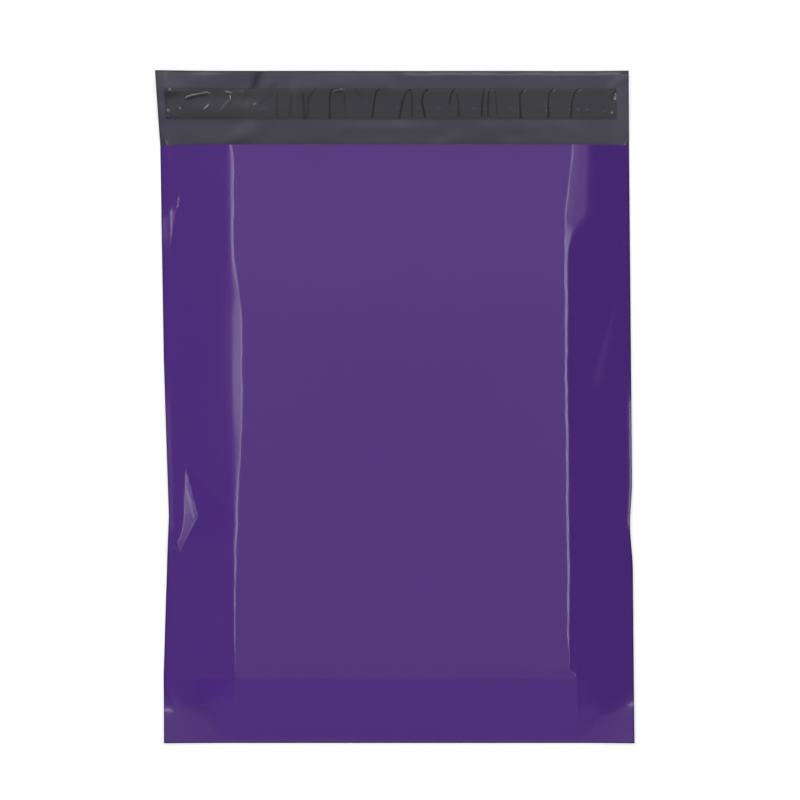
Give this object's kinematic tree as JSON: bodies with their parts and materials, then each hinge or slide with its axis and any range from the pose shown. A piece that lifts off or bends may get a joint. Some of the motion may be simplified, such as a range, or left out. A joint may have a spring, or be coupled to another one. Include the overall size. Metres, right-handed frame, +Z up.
{
  "type": "poly mailer bag",
  "caption": "Flat plastic mailing bag with an open flap, a peel-off closure strip, welded sides and a softly puffed front.",
  "frame": {"origin": "on the table under the middle of the bag's outline, with the bag lying on its back", "axes": "+Z up from the back sheet to the puffed front; +Y from the bottom fold to the open flap; +X across the bag, to the right as seen from the front"},
  "size_m": [0.2572, 0.361, 0.016],
  "materials": {
    "bag_film": "glossy purple polyethylene film, dark grey on its inner face",
    "adhesive": "translucent amber hot-melt glue",
    "liner": "glossy dark grey release film with cross wrinkles"
  },
  "bodies": {
    "root": {"bag_film": "bag_film", "adhesive_strip": "adhesive", "release_liner": "liner"}
  },
  "joints": []
}
